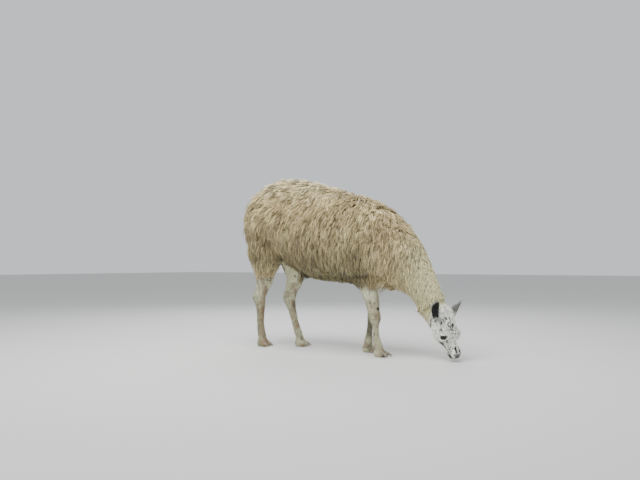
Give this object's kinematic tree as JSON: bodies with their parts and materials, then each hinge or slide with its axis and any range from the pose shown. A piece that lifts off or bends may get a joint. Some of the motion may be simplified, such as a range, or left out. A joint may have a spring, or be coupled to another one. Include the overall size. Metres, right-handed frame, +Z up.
{
  "type": "llama",
  "caption": "Life-size standing llama with its neck lowered to graze, long fleece on the body, short hair on face and legs, two-toed feet.",
  "frame": {"origin": "on the ground, under the middle of the animal's bounding box", "axes": "+X from the tail to the head, +Y to the animal's left, +Z up"},
  "size_m": [1.5802, 0.5, 1.137],
  "materials": {
    "fleece": "long shaggy fleece in wavy locks, cream at the tips and browner in the depths",
    "neck_wool": "shorter soft felted wool, cream",
    "face_hair": "short flat white hair with small black flecks, bare dark skin at the nose and lips",
    "leg_hair": "short flat off-white hair with grey-brown stains and dark flecks",
    "ear": "thin skin with short grey hair, almost black inside",
    "eye": "wet, very dark brown",
    "horn": "worn dark horn"
  },
  "bodies": {
    "root": {"trunk": "fleece", "neck": "neck_wool", "head": "face_hair", "tail": "fleece", "ear_left": "ear", "ear_right": "ear", "eye_left": "eye", "eye_right": "eye", "hind_right_thigh": "leg_hair", "hind_right_shank": "leg_hair", "hind_right_foot": "leg_hair", "hind_right_nail_inner": "horn", "hind_right_nail_outer": "horn", "hind_left_thigh": "leg_hair", "hind_left_shank": "leg_hair", "hind_left_foot": "leg_hair", "hind_left_nail_inner": "horn", "hind_left_nail_outer": "horn", "front_right_forearm": "leg_hair", "front_right_shin": "leg_hair", "front_right_foot": "leg_hair", "front_right_nail_inner": "horn", "front_right_nail_outer": "horn", "front_left_forearm": "leg_hair", "front_left_shin": "leg_hair", "front_left_foot": "leg_hair", "front_left_nail_inner": "horn", "front_left_nail_outer": "horn"}
  },
  "joints": []
}
